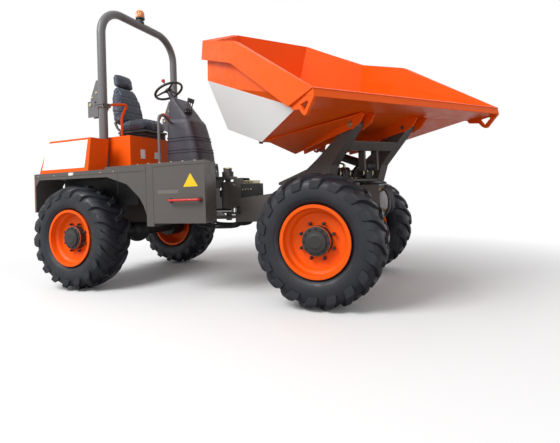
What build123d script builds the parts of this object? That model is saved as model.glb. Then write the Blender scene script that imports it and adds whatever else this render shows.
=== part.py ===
from build123d import *
import os
from math import atan2, cos, degrees, hypot, radians, sin

# Site dumper with a swivelling skip.  Millimetres, +X forward, +Y left, +Z up.
# The rear unit is drawn with x = 0 at the rear axle and everything else with x = 0 at
# the front axle; SHIFT then puts the origin on the ground at the middle of the overall box.

os.makedirs("parts", exist_ok=True)

# ---- driving dimensions -------------------------------------------------
SHIFT = (1010.420, 123.952, 0.0)     # front axle frame -> part frame
WHEEL_BASE = 2900.0
TRACK_HALF = 885.0
WHEEL_R = 588.5                   # 405/70-24 tyre over its lugs
TYRE_W = 410.0
LUG_H = 26.5                      # height of the lugs
TYRE_BASE_R = WHEEL_R - LUG_H     # tread floor between the lugs
BEAD_R = 300.0
RIM_W = 330.0                     # between the rim's flanges
LUGS = 18                         # per row
TYRE_SIDES = 24                   # flats round the carcass
PIVOT_X = -1455.0                 # articulation axis
PIVOT_BACK = PIVOT_X + WHEEL_BASE    # and the same from the rear axle
PIN_R = 35.0
RUN = 0.05                        # running clearance on a radius
TABLE_X = -162.0                  # turntable axis
SWING = 37.9                      # skip swivelled to the machine's right
TIP = 18.0                        # skip tipped forward as parked
TIP_D, TIP_Z = 870.0, 1587.0      # skip pivot in the turntable's own frame
HEAD_R, TIP_PIN_R = 40.0, 18.0    # arm's head round the pivot, and the pin
ARM_W, ARM_T = 310.0, 90.0        # arm centre and width
SKIP_T = 12.0                     # skip plate
TRUNNION = (TIP_D - 220, TIP_Z - 347)    # tip cylinder's base, (d, z)
ROD_EYE = (TIP_D - 970, TIP_Z - 422)     # and its eye with the skip lowered
TIP_STROKE = (128.0, 296.0)       # rod in and out from as parked
PLATE_Z, PLATE_T = 1100.0, 22.0   # turntable plate
BODY_W = 1000.0                   # half width over fenders and hood
ROPS_X, ROPS_Y, ROPS_R = 150.0, 670.0, 50.0
ROPS_TOP, ROPS_BEND = 3390.0, 330.0
FOLD_X, FOLD_Z = 0.0, 2150.0  # hoop fold axis
DECK_Z = 2 * WHEEL_R + 158.0      # top of fenders and side boxes
AXLE_SEAT = WHEEL_R + 115.0       # underside of both frames over the axles
HITCH_Z = 700.0
SIDE_X, STEP_X = 1160.0, 685.0  # front of the right and the left fender
WHEEL_HUB, WHEEL_LEAN = (592.0, 2395.0), (-110.0, 215.0)    # steering wheel, (x, z)
STEER_BACK = (-2100.0, -390.0, 840.0)   # steering cylinder, rear anchor
STEER_EYE = (-1150.0, -390.0, 840.0)    # and its eye on the front frame
STEER_STROKE = (210.0, 210.0)     # rod in and out from straight ahead
RAIL_T, REAR_RAIL, FRONT_RAIL = 65.0, 280.0, 320.0    # rail width, outer faces


# ---- small helpers ------------------------------------------------------
def box(x0, x1, y0, y1, z0, z1):
    return Pos((x0 + x1) / 2, (y0 + y1) / 2, (z0 + z1) / 2) * Box(x1 - x0, y1 - y0, z1 - z0)


def prism(points, axis, a, b):
    """Polygon in the plane across axis, pushed from a to b along it."""
    put = {"x": lambda p, q: (a, p, q), "y": lambda p, q: (p, a, q), "z": lambda p, q: (p, q, a)}[axis]
    way = {"x": (1, 0, 0), "y": (0, 1, 0), "z": (0, 0, 1)}[axis]
    face = Face(Wire.make_polygon([put(p, q) for p, q in points], close=True))
    return Part() + Solid.extrude(face, Vector(*way) * (b - a))


def rod(p, q, r):
    p, q = Vector(*p), Vector(*q)
    return Part() + Solid.make_cylinder(r, (q - p).length, Plane(origin=p, z_dir=(q - p)))


def pipe(points, r, bend):
    path = FilletPolyline(*points, radius=bend)
    return sweep(Plane(origin=path @ 0, z_dir=path % 0) * Circle(r), path=path)


def polyhedron(faces):
    return Part() + Solid(Shell([Face(Wire.make_polygon(f, close=True)) for f in faces]))


def other(shape):
    return mirror(shape, about=Plane.XZ)


def both(shape):
    return shape + other(shape)


def ring(profile):
    """(radius, y) polygon turned about the Y axis."""
    face = Face(Wire.make_polygon([(r, y, 0) for r, y in profile], close=True))
    return revolve(face, axis=Axis.Y, revolution_arc=360)


def on_table(shape):
    return Pos(TABLE_X, 0, 0) * Rot(0, 0, -SWING) * shape


def on_skip(shape):
    return on_table(Pos(TIP_D, 0, TIP_Z) * Rot(0, TIP, 0) * Pos(-TIP_D, 0, -TIP_Z) * shape)


# ---- wheels -------------------------------------------------------------
# Tyre wall: share of the section height from the bead, share of the half width.
WALL = [(-0.03, 0.8), (0.1, 0.8), (0.46, 1.0), (0.8, 0.97), (1.0, 0.585)]


def tyre():
    high, half = TYRE_BASE_R - BEAD_R, TYRE_W / 2
    wall = [(BEAD_R + s * high, w * half) for s, w in WALL]
    section = wall + [(r, -y) for r, y in reversed(wall)]
    turns = [radians(360.0 / TYRE_SIDES * i) for i in range(TYRE_SIDES + 1)]
    rows = [[(r * sin(t), y, r * cos(t)) for r, y in section] for t in turns]
    carcass = polyhedron([(p[i - 1], p[i], q[i], q[i - 1]) for p, q in zip(rows[:-1], rows[1:])
                          for i in range(len(section))])
    carcass -= rod((0, -half, 0), (0, half, 0), BEAD_R)
    foot, toe, heel = TYRE_BASE_R - 17, TYRE_BASE_R - 77, TYRE_BASE_R + 8
    lug = [(0.04, 28, foot, WHEEL_R), (0.04, -28, foot, WHEEL_R),     # share of the half width, round, in, out
           (0.956, -90, toe, heel), (0.956, -142, toe, heel)]
    low, top = ([(t, w * half, r[i]) for w, t, *r in lug] for i in (0, 1))
    (a, b, c, d), (e, f, g, h) = low, top
    bar = polyhedron([(a, b, d, c), (e, f, h, g), (a, b, f, e), (c, d, h, g), (a, c, g, e), (b, d, h, f)])
    twin = Rot(0, 180.0 / LUGS, 0) * other(bar)
    turns = [360.0 / LUGS * i for i in range(LUGS)]
    return carcass.fuse(*[(Rot(0, t, 0) * s).solid() for t in turns for s in (bar, twin)])


def rim():
    """Outboard side is -Y; deep stepped dish with a planetary hub and a blind spindle bore."""
    r, w = BEAD_R, RIM_W / 2
    shell = ring([(r, -w), (r + 18, -w), (r + 18, -w - 10), (r - 12, -w - 10), (280, -120), (256, -100),
                  (240, -64), (120, -57), (120, -43), (240, -43), (262, -40), (280, 40), (r - 12, w + 10),
                  (r + 18, w + 10), (r + 18, w), (r, w)])
    hub = rod((0, -128, 0), (0, -30, 0), 130) + rod((0, -150, 0), (0, -128, 0), 92)
    for i in range(8):
        a = radians(22.5 + 45 * i)
        hub += rod((160 * cos(a), -78, 160 * sin(a)), (160 * cos(a), -50, 160 * sin(a)), 15)
    return shell + hub - rod((0, -100, 0), (0, 0, 0), 50 + RUN)


WHEELS = [  # name, x, side
    ("front_right", 0.0, -1), ("front_left", 0.0, 1),
    ("rear_right", -WHEEL_BASE, -1), ("rear_left", -WHEEL_BASE, 1)]


def wheels():
    t, r = tyre(), rim()
    out = {}
    for name, x, side in WHEELS:
        turn = 0 if side < 0 else 180
        out["tyre_" + name] = Pos(x, side * TRACK_HALF, WHEEL_R) * t
        out["rim_" + name] = Pos(x, side * TRACK_HALF, WHEEL_R) * Rot(0, 0, turn) * r
    return out


def axle(x):
    """Housing with a differential, hub carriers and a spindle each side."""
    z = WHEEL_R
    body = rod((x, -640, z), (x, 640, z), 90) + Pos(x, 0, z) * Sphere(165)
    body += both(rod((x, 600, z), (x, 820, z), 150) + rod((x, 820, z), (x, TRACK_HALF + 90, z), 50))
    return body + both(box(x - 110, x + 110, 240, 330, z + 60, AXLE_SEAT))


# ---- rear unit ----------------------------------------------------------
def rear_frame():
    p, end = PIVOT_BACK, PIVOT_BACK - 245
    side = [(-430, AXLE_SEAT), (-430, 980), (end, 980), (end, 720), (400, AXLE_SEAT)]
    rails = both(prism(side, "y", REAR_RAIL - RAIL_T, REAR_RAIL))
    cross = box(-470, -400, -470, 470, 640, 1060) + box(end - 90, end, -REAR_RAIL, REAR_RAIL, 720, 980)
    mid = box(480, 560, -REAR_RAIL, REAR_RAIL, 760, 960) + box(-500, -470, -600, 600, 1000, 1385)
    fork = prism([(end, 720), (end, 1230), (p + 75, 1230), (p + 75, 1195), (p - 105, 1195), (p - 185, 1100),
                  (p - 185, 830), (p - 105, 755), (p + 75, 755), (p + 75, 720)], "y", -95, 95)
    fork += rod((p, 0, 1230), (p, 0, 1290), 70)
    gusset = both(prism([(end - 90, 980), (end, 980), (p - 125, 1195), (end, 1195)], "y", 95, 115))
    pin = rod((p, 0, 700), (p, 0, 1325), PIN_R) + rod((p, 0, 1290), (p, 0, 1325), 52)
    x, y, z = STEER_BACK
    x += WHEEL_BASE
    for s in (-1, 1):
        fork += box(x - 45, x + 45, y - 45, -REAR_RAIL, z + s * 42 - 8, z + s * 42 + 8)
    hinge = both(box(-565, -500, 500, 520, 1340, 1385))
    rails += both(box(480, 560, REAR_RAIL - RAIL_T, REAR_RAIL, 980, DECK_Z - 30))
    out = rails + cross + mid + fork + gusset + pin + rod((x, y, z - 60), (x, y, z + 60), 20) + hinge
    return out - rod((-545, -600, 1365), (-545, 600, 1365), 10 + RUN)


def tow_hitch():
    z = HITCH_Z
    jaw = box(-530, -470, -90, 90, z - 90, z + 90)
    plates = box(-640, -530, -60, 60, z + 40, z + 65) + box(-640, -530, -60, 60, z - 65, z - 40)
    return jaw + plates - rod((-600, 0, z - 100), (-600, 0, z + 100), 17)


def fender_left():
    """Flat top and rear skirt; the front panel ends at the entry."""
    arch, front = 2 * WHEEL_R + 73, STEP_X
    return prism(SKIRT + [(front, DECK_Z), (front, 715), (front - 35, 715), (front - 35, 960), (570, 1100),
                          (420, 1205), (280, arch), (-540, arch + 12), (-600, arch - 60), (-600, 880)],
                 "y", 640, BODY_W)


def fender_right():
    """The same with its front panel carried on to the side box."""
    arch, front = 2 * WHEEL_R + 73, SIDE_X
    return other(prism(SKIRT + [(front, DECK_Z), (front, 715), (front - 90, 715), (front - 90, arch - 425),
                                (front - 130, arch - 320), (front - 190, arch - 230), (810, arch - 90),
                                (530, arch), (-540, arch + 12), (-600, arch - 60), (-600, 880)],
                       "y", 640, BODY_W))


SKIRT = [(-620, 880), (-620, DECK_Z)]
SILL_Z = 745.0
# Plan of the right box's front, x and y from the middle.
NOSE = [(PIVOT_BACK + 345, BODY_W), (PIVOT_BACK + 275, 700), (PIVOT_BACK + 155, 580)]


def side_box_right():
    """Tank and step box between the wheels, its front drawn back for the steered tyre."""
    return other(prism([(SIDE_X, 580), (SIDE_X, BODY_W)] + NOSE, "z", SILL_Z, DECK_Z))


def side_box_left():
    """Low entry step."""
    return box(STEP_X, STEP_X + 300, 580, BODY_W, SILL_Z, SILL_Z + 330)


def deck():
    """Floor ahead of the seat; its front edge runs back across the machine to the entry."""
    z, p = DECK_Z, PIVOT_BACK
    plan = [(505, -BODY_W)] + [(x, -y) for x, y in NOSE] + [(p + 125, -420), (p + 55, -300)]
    plan += [(STEP_X, BODY_W), (505, BODY_W)]
    out = prism(plan, "z", z, z + 25)
    under = [(-120, -578), (p - 145, -578), (p - 145, -40), (STEP_X + 240, 578), (-120, 578)]
    out += prism(under, "z", z - 30, z)
    return out + box(-120, STEP_X - 5, 570, 640, z - 30, z) + box(-120, SIDE_X - 5, -640, -570, z - 30, z)


def hood_side():
    """Box over the fender, notched round the roll-over post."""
    plan = [(-540, 620), (-540, BODY_W), (310, BODY_W), (310, 745), (70, 745), (70, 620)]
    side = [(-530, 1335), (-505, 1400), (-370, 1680), (-335, 1705), (310, 1705), (255, 1335)]
    return prism(plan, "z", 1335, 1705) & prism(side, "y", 600, BODY_W)


def bonnet():
    skin = prism([(-542, 1365), (-400, 1680), (-365, 1712), (-135, 1712), (-135, 1365)], "y", -612, 612)
    hollow = prism([(-528, 1300), (-528, 1370), (-391, 1673), (-360, 1700), (-147, 1700), (-147, 1300)],
                   "y", -600, 600)
    slots = both(box(-580, -480, 490, 530, 1330, 1400))
    return skin - hollow - slots + rod((-545, -560, 1365), (-545, 560, 1365), 10)


def seat_box():
    low = prism([(-120, 1335), (-120, 1712), (-90, 1755), (500, 1755), (500, 1335)], "y", -612, 612)
    return low - box(500, 510, -650, 650, 1300, 1360) + box(-60, 340, -190, 190, 1755, 1870)


def engine():
    half = REAR_RAIL - RAIL_T
    return box(-380, 440, -half, half, 870, 1290)


def seat_cushion():
    return prism([(-100, 1870), (-100, 1990), (340, 2015), (390, 1975), (380, 1880), (340, 1870)],
                 "y", -250, 250)


def seat_back():
    return prism([(-112, 1975), (-200, 2520), (-110, 2545), (10, 1980)], "y", -235, 235) - seat_cushion()


def headrest():
    pad = prism([(-205, 2580), (-220, 2700), (-140, 2715), (-120, 2590)], "y", -130, 130)
    return pad + both(rod((-160, 70, 2520), (-166, 70, 2640), 8)) - seat_back()


def console():
    """Moulded pedestal, tapered to the top, with the steering column."""
    side = [(685, 1360), (675, 1500), (685, 2100), (740, 2265), (800, 2245), (915, 2110),
            (1010, 2000), (1090, 1770), (1160, 1480), (1165, 1360)]
    front = [(-215, 1360), (-205, 1900), (-160, 2270), (160, 2270), (205, 1900), (215, 1360)]
    body = prism(side, "y", -300, 300) & prism(front, "x", 600, 1300)
    body = fillet(body.edges().filter_by(lambda e: e.center().Z > 1400 and abs(e.center().Y) < 1), 24)
    (x, z), (a, b) = WHEEL_HUB, WHEEL_LEAN
    lean = hypot(a, b)
    return body + rod((x - 250 * a / lean, 0, z - 250 * b / lean), (x - 14 * a / lean, 0, z - 14 * b / lean), 34)


def steering_wheel():
    """Rim, hub, three spokes and a spinner knob, tilted to the column."""
    grip = [(180 + 16 * cos(radians(a)), 16 * sin(radians(a))) for a in range(22, 382, 45)]
    wheel = Rot(90, 0, 0) * ring(grip) + rod((0, 0, -6), (0, 0, 24), 42)
    for a in (90, 210, 330):
        wheel += rod((0, 0, 8), (178 * cos(radians(a)), 178 * sin(radians(a)), 0), 9)
    wheel += rod((-127, 127, 4), (-127, 127, 45), 9) + rod((-127, 127, 40), (-127, 127, 80), 23)
    return Pos(WHEEL_HUB[0], 0, WHEEL_HUB[1]) * Rot(0, degrees(atan2(*WHEEL_LEAN)), 0) * wheel


def levers():
    out = Part()
    for y in (-150, -105, -60):
        out += rod((965, y, 2030), (1007, y, 2180), 7) + rod((1004, y, 2170), (1018, y, 2222), 15)
    return out - console()


def grab_rail():
    pts = [(-85, 330, 1755), (-85, 330, 2200), (200, 330, 2200), (100, 330, 2060), (100, 330, 1755)]
    return pipe(pts, 16, 50)


def rops_base():
    y, z = ROPS_Y, FOLD_Z
    out = box(ROPS_X - 80, ROPS_X + 80, y - 50, y + 70, 1335, 1360)
    out += rod((ROPS_X, y, 1350), (ROPS_X, y, z - 40), ROPS_R)
    out += box(ROPS_X - 62, ROPS_X + 62, y - 62, y + 62, z - 40, z - 20)
    for s in (-40, 40):
        out += box(FOLD_X - 45, ROPS_X - 30, y + s - 6, y + s + 6, z - 150, z - 30)
        out += box(FOLD_X - 45, ROPS_X - 84, y + s - 6, y + s + 6, z - 150, z + 42)
    return out + rod((FOLD_X, y - 50, z), (FOLD_X, y + 50, z), 12)


def rops_hoop():
    z0, top = FOLD_Z - 14, ROPS_TOP - ROPS_R
    pts = [(ROPS_X, -ROPS_Y, z0), (ROPS_X, -ROPS_Y, top), (ROPS_X, ROPS_Y, top), (ROPS_X, ROPS_Y, z0)]
    hoop = pipe(pts, ROPS_R, ROPS_BEND)
    side = box(ROPS_X - 62, ROPS_X + 62, ROPS_Y - 62, ROPS_Y + 62, z0, z0 + 20)
    side += box(FOLD_X - 30, ROPS_X, ROPS_Y - 28, ROPS_Y + 28, z0, FOLD_Z + 40)
    hole = rod((FOLD_X, -900, FOLD_Z), (FOLD_X, 900, FOLD_Z), 12 + RUN)
    return hoop + both(side) - hole


def beacon():
    z = ROPS_TOP
    out = rod((ROPS_X, 0, z - 15), (ROPS_X, 0, z + 35), 50) + rod((ROPS_X, 0, z + 35), (ROPS_X, 0, z + 165), 58)
    return out - rod((ROPS_X, -200, z - ROPS_R), (ROPS_X, 200, z - ROPS_R), ROPS_R)


# ---- front unit ---------------------------------------------------------
def front_frame():
    side = [(-1180, AXLE_SEAT), (-1180, 960), (-700, 1010), (-520, 1060), (430, 1060), (430, 760),
            (250, AXLE_SEAT)]
    w = FRONT_RAIL
    out = both(prism(side, "y", w - RAIL_T, w))
    out += box(-1180, -1110, -w, w, AXLE_SEAT, 960) + box(380, 430, -w, w, 760, 1060)
    out += prism([(-1180, AXLE_SEAT), (-1290, 790), (PIVOT_X, 790), (PIVOT_X, 1165), (-1400, 1165),
                  (-1100, 985), (-1110, 955)], "y", -80, 80)
    out += rod((PIVOT_X, 0, 790), (PIVOT_X, 0, 1165), 85)
    out += box(-560, 430, -w, w, 1040, 1060)
    x, y, z = STEER_EYE
    for s in (-1, 1):
        out += box(x - 40, x + 40, y - 40, -w, z + s * 40 - 8, z + s * 40 + 8)
    out -= rod((x, y, z - 60), (x, y, z + 60), 18)
    return out - rod((PIVOT_X, 0, 690), (PIVOT_X, 0, 1300), PIN_R + RUN)


def slew_ring():
    x = TABLE_X
    return rod((x, 0, 1060), (x, 0, 1094), 320) + rod((x, 0, 1094), (x, 0, 1140), 60)


def valve_block():
    return box(-1150, -980, -230, 0, 960, 1130) - front_frame()


# ---- turntable, skip and cylinders --------------------------------------
# Side of an arm: the tail and the foot, as d and the height over the plate's underside.
ARM_TAIL = [(-530, 0), (-530, 30), (-200, 90), (100, 145), (300, 235)]
ARM_FOOT = (470, 0)
# And what goes with the skip pivot, as d and z from it: top and underside of the neck, and the cross beam.
NECK_TOP, NECK_LOW = (-310, -117), (-332, -331)
BEAM = [(-225, -205), (-175, -205), (-105, -137), (-105, -127), (-155, -127)]


def subframe():
    (d, z), w, z0 = TRUNNION, ARM_W, PLATE_Z
    tail = [(a, z0 + b) for a, b in ARM_TAIL]
    foot = [(ARM_FOOT[0], z0 + ARM_FOOT[1])]
    top, low = ([(TIP_D + a, TIP_Z + b)] for a, b in (NECK_TOP, NECK_LOW))
    turn = [radians(a) for a in range(150, -31, -30)]
    head = [(TIP_D + HEAD_R * cos(a), TIP_Z + HEAD_R * sin(a)) for a in turn]
    out = rod((0, 0, z0), (0, 0, z0 + PLATE_T), 380) + box(-530, 470, -w - 45, w + 45, z0, z0 + PLATE_T)
    out += both(prism(tail + top + head + low + foot, "y", w - ARM_T / 2, w + ARM_T / 2))
    out += prism([(TIP_D + a, TIP_Z + b) for a, b in BEAM], "y", -w + 40, w - 40)
    out += both(box(d - 40, d + 45, 68, 88, z - 45, TIP_Z + BEAM[0][1] + 15))
    out += rod((d, -88, z), (d, 88, z), 22)
    out += both(rod((TIP_D, w - 72, TIP_Z), (TIP_D, w + 74, TIP_Z), TIP_PIN_R))
    return on_table(out - rod((0, 0, z0 - 100), (0, 0, z0 + 100), 60 + RUN))


# Half sections of the tub with the skip lowered: (d, w, z) at rear, shoulder, side, front.
TUB = {
    "floor": [(-1179, 400, 1254), (-749, 868, 1254), (-140, 845, 1265), (112, 835, 1269.5)],
    "fold": [(-1504, 460, 1800), (-900, 1100, 1778), (-140, 1051, 1746), (957, 980, 1700)],
    "lip": [(-1525, 497, 2085), (-938, 1105, 1990), (-140, 1066, 1967), (1271, 1040, 1812)],
    "rim": [(-1547, 535, 2370), (-975, 1110, 2202), (-140, 1081, 2189), (1240, 1040, 1868)]}
BAND_H, BAND_OUT = 205.0, 55.0    # band round the rim: height, and how far it stands out
BAND_NOSE = (957.0, 1064.0, 1700.0)


def tub(rows):
    """Solid between stacked sections; each row lists half of a mirrored section."""
    full = [list(row) + [(d, -w, z) for d, w, z in reversed(row)] for row in rows]
    n = len(rows[0])
    faces = [(r[i], r[i + 1], r[2 * n - 2 - i], r[2 * n - 1 - i]) for r in (full[0], full[-1])
             for i in range(n - 1)]
    for low, high in zip(full[:-1], full[1:]):
        for i in range(2 * n):
            j = (i + 1) % (2 * n)
            if i in (n - 1, 2 * n - 1):
                faces.append((low[i], low[j], high[j], high[i]))
            elif i < n:
                faces += [(low[i], low[j], high[j]), (low[i], high[j], high[i])]
            else:
                faces += [(low[j], low[i], high[i]), (low[j], high[i], high[j])]
    return polyhedron(faces)


def inside():
    """The hollow: every section pulled in by the plate and carried on above the rim."""
    t = SKIP_T + 2
    rows = [[(d + s * t, w - t, z) for (d, w, z), s in zip(TUB[k], (1, 1, 0, -1))] for k in TUB]
    rows[0] = [(d, w, z + SKIP_T) for d, w, z in rows[0]]
    for row in rows[1:3]:
        d, w, z = row[-1]
        row[-1] = (d, w, z + SKIP_T)
    top = [tuple(q + (q - p) * 0.15 for p, q in zip(a, b)) for a, b in zip(rows[2], rows[3])]
    return tub(rows[:3] + [top])


def skip_shell():
    return on_skip(tub(list(TUB.values())) - inside())


def skip_band():
    """Deep box section round the rim, proud of the wall and running out at the nose."""
    o = BAND_OUT
    step = ((-o, o / 2), (0, o), (0, o), (6, 6))
    top = [(d + a, w + b, z) for (d, w, z), (a, b) in zip(TUB["rim"], step)]
    low = [(d, w, z - BAND_H) for d, w, z in top[:3]] + [BAND_NOSE]
    return on_skip(tub([low, top]) - tub(list(TUB.values())) - inside())


EAR_T, EAR_GAP = 12.0, 8.0        # ear plate, and its gap to the arm
# Ear plate in the side view, from the floor down to its low corner and up to the nose, about the pivot.
EAR = [(-970, -300), (-870, -455), (7, -42), (30, -40), (119, 33), (151, 114), (60, 130)]
LUG = [(957, 1705), (990, 1681), (1096, 1698), (1140, 1672), (1170, 1664), (1196, 1672), (1240, 1754),
       (1271, 1812), (1240, 1860)]
LUG_HOLE = [(1102, 1735), (1150, 1699), (1168, 1696), (1206, 1764), (1188, 1775)]


def skip_ears():
    """Ear plates either side of each arm, a gusset out to the corner, and the cylinder's eye plates."""
    web = [(TIP_D + a, TIP_Z + b) for a, b in EAR]
    first = ARM_W - ARM_T / 2 - EAR_GAP - EAR_T
    last = ARM_W + ARM_T / 2 + EAR_GAP
    out = Part()
    for a in (first, last):
        out += both(prism(web, "y", a, a + EAR_T))
    side = last + EAR_T
    low, nose = web[1], web[-2]
    _, w, z = TUB["floor"][-1]
    wing = [(200, w, z + 30), (low[0], side - 1, low[1]), (nose[0], side - 1, nose[1])]
    face = Face(Wire.make_polygon(wing, close=True))
    normal = face.normal_at()
    out += both(Part() + Solid.extrude(face, normal * (EAR_T if normal.Z > 0 else -EAR_T)))
    d, z = ROD_EYE
    foot = TUB["floor"][0][2] + 20
    out += both(prism([(d - 60, foot), (d - 30, z - 32), (d + 30, z - 32), (d + 60, foot)], "y", 38, 50))
    out -= rod((TIP_D, -400, TIP_Z), (TIP_D, 400, TIP_Z), TIP_PIN_R + RUN)
    out -= rod((d, -60, z), (d, 60, z), 18)
    lip = TUB["rim"][-1][1]
    out += both(prism(LUG, "y", lip - 24, lip) - prism(LUG_HOLE, "y", lip - 30, lip + 10))
    return on_skip(out - tub(list(TUB.values()))) - skip_band()


def tipped(p):
    a = radians(TIP)
    dx, dz = p[0] - TIP_D, p[1] - TIP_Z
    return TIP_D + dx * cos(a) + dz * sin(a), TIP_Z - dx * sin(a) + dz * cos(a)


def along(base, eye, shape):
    """Put a shape drawn along +X from the origin between two points of the d-z plane."""
    a = degrees(atan2(eye[1] - base[1], eye[0] - base[0]))
    return Pos(base[0], 0, base[1]) * Rot(0, -a, 0) * shape


def ram(eye_r, eye_w, pin_r, tube_r, rod_r, length, stroke):
    """Barrel from the origin and rod ending in an eye at length; both along +X."""
    deep = eye_r + 30
    start = deep + stroke[0] + 10
    tube_l = start + stroke[1] + 60
    barrel = rod((0, -eye_w, 0), (0, eye_w, 0), eye_r) + rod((eye_r - 12, 0, 0), (tube_l, 0, 0), tube_r)
    barrel -= rod((0, -eye_w, 0), (0, eye_w, 0), pin_r + RUN)
    barrel -= rod((deep, 0, 0), (tube_l + 1, 0, 0), rod_r + 6)
    stem = rod((start, 0, 0), (length - eye_r + 12, 0, 0), rod_r)
    stem += rod((length, -22, 0), (length, 22, 0), eye_r - 4)
    return barrel, stem - rod((length, -30, 0), (length, 30, 0), pin_r - 3)


def tip_ram():
    eye = tipped(ROD_EYE)
    length = hypot(eye[0] - TRUNNION[0], eye[1] - TRUNNION[1])
    barrel, stem = ram(34, 40, 22, 42, 26, length, TIP_STROKE)
    return [on_table(along(TRUNNION, eye, s)) for s in (barrel, stem)]


def steer_ram():
    (x0, y, z), x1 = STEER_BACK, STEER_EYE[0]
    barrel, stem = ram(34, 28, 20, 34, 20, x1 - x0, STEER_STROKE)
    return [Pos(x0, y, z) * Rot(90, 0, 0) * s for s in (barrel, stem)]


def rear_unit():
    """Nodes of the rear unit, about the rear axle."""
    nodes = {
        "rear_frame": rear_frame(), "engine_block": engine(), "tow_hitch": tow_hitch(), "deck": deck(),
        "fender_left": fender_left(), "fender_right": fender_right(),
        "side_box_left": side_box_left(), "side_box_right": side_box_right(),
        "seat_box": seat_box(), "seat_cushion": seat_cushion(), "seat_back": seat_back(),
        "headrest": headrest(), "console": console(), "levers": levers(), "bonnet": bonnet(),
        "steering_wheel": steering_wheel(), "rops_hoop": rops_hoop(), "beacon": beacon()}
    for name, shape in (("hood_side", hood_side()), ("grab_rail", grab_rail()), ("rops_base", rops_base())):
        nodes[name + "_left"], nodes[name + "_right"] = shape, other(shape)
    return nodes


def build():
    nodes = wheels()
    nodes.update({name: Pos(-WHEEL_BASE, 0, 0) * shape for name, shape in rear_unit().items()})
    nodes["rear_axle"], nodes["front_axle"] = axle(-WHEEL_BASE), axle(0.0)
    nodes["front_frame"] = front_frame()
    nodes["slew_ring"] = slew_ring()
    nodes["valve_block"] = valve_block()
    nodes["subframe"] = subframe()
    nodes["skip_shell"] = skip_shell()
    nodes["skip_band"] = skip_band()
    nodes["skip_ears"] = skip_ears()
    nodes["tip_barrel"], nodes["tip_rod"] = tip_ram()
    nodes["steer_barrel"], nodes["steer_rod"] = steer_ram()
    return nodes


for label, shape in build().items():
    shape = Pos(*SHIFT) * shape
    shape.label = label
    export_step(shape, f"parts/{label}.step")
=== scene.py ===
from math import atan2, cos, pi, radians, sin

import bmesh
import bpy
import numpy as np
from mathutils import Matrix, Vector


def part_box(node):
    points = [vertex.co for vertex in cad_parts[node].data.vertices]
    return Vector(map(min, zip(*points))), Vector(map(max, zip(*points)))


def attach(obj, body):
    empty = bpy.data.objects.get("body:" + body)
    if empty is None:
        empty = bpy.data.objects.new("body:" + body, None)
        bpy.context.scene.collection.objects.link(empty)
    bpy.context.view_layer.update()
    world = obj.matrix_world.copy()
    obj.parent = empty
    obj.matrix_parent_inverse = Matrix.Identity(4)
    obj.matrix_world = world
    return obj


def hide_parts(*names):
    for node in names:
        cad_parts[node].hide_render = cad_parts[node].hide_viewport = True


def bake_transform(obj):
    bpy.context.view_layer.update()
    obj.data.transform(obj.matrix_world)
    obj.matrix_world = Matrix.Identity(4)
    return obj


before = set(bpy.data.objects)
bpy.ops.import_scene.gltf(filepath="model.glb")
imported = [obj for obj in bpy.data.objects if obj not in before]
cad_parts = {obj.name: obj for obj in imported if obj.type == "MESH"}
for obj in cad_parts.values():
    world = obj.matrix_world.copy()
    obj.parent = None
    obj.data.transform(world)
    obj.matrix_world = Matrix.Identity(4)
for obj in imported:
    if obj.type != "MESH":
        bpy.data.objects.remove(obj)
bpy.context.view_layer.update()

# Site dumper with a swivelling skip, dressed over its CAD nodes.  Metres, +X forward, +Y left, +Z up.
# Places are given from the front axle (x), the middle plane (y) and the ground (z), and the function
# here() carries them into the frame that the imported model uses.

# ---- driving sizes, repeated from the solids -----------------------------
WHEEL_R = 0.5885
TYRE_W = 0.410
BEAD_R = 0.300
WHEEL_BASE = 2.900
TRACK_HALF = 0.885
BODY_W = 1.000
DECK_Z = 1.335
TABLE_X = -0.162
SWING = radians(37.9)
TIP = radians(18.0)
TIP_D, TIP_Z = 0.870, 1.587
ARM_W, ARM_T = 0.310, 0.090
EAR_OUT = ARM_W + ARM_T / 2 + 0.020       # outer face of the skip's outer ear plates
PIVOT_X = -1.455
ROPS_X, ROPS_Y = -2.750, 0.670
FOLD_X, FOLD_Z = -2.900, 2.150
HUB, LEAN = np.array([-2.308, 0, 2.395]), atan2(-0.110, 0.215)      # steering wheel
ROPS_TOP = 3.390
WHEELS = [  # name, x, side
    ("front_right", 0.0, -1), ("front_left", 0.0, 1),
    ("rear_right", -WHEEL_BASE, -1), ("rear_left", -WHEEL_BASE, 1)]
SIDES = [("right", -1), ("left", 1)]

fr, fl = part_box("tyre_front_right"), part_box("tyre_front_left")
ORIGIN = np.array([(fr[0].x + fr[1].x) / 2, (fr[0].y + fl[1].y) / 2, 0.0])


def here(p):
    """Front axle place to row frame: a plain shift."""
    return np.asarray(p, float) + ORIGIN


def on_table(p):
    """(d, w, z) about the turntable: turned by the swing about the vertical, then moved to its axis."""
    p = np.asarray(p, float)
    d, w, z = p[..., 0], p[..., 1], p[..., 2]
    c, s = cos(SWING), sin(SWING)
    return here(np.stack([TABLE_X + d * c + w * s, -d * s + w * c, z], -1))


def on_skip(p):
    """(d, w, z) of the lowered skip: tipped forward about the pivot, then as on_table."""
    p = np.asarray(p, float)
    d, z = p[..., 0] - TIP_D, p[..., 2] - TIP_Z
    c, s = cos(TIP), sin(TIP)
    return on_table(np.stack([TIP_D + d * c + z * s, p[..., 1], TIP_Z - d * s + z * c], -1))


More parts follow.
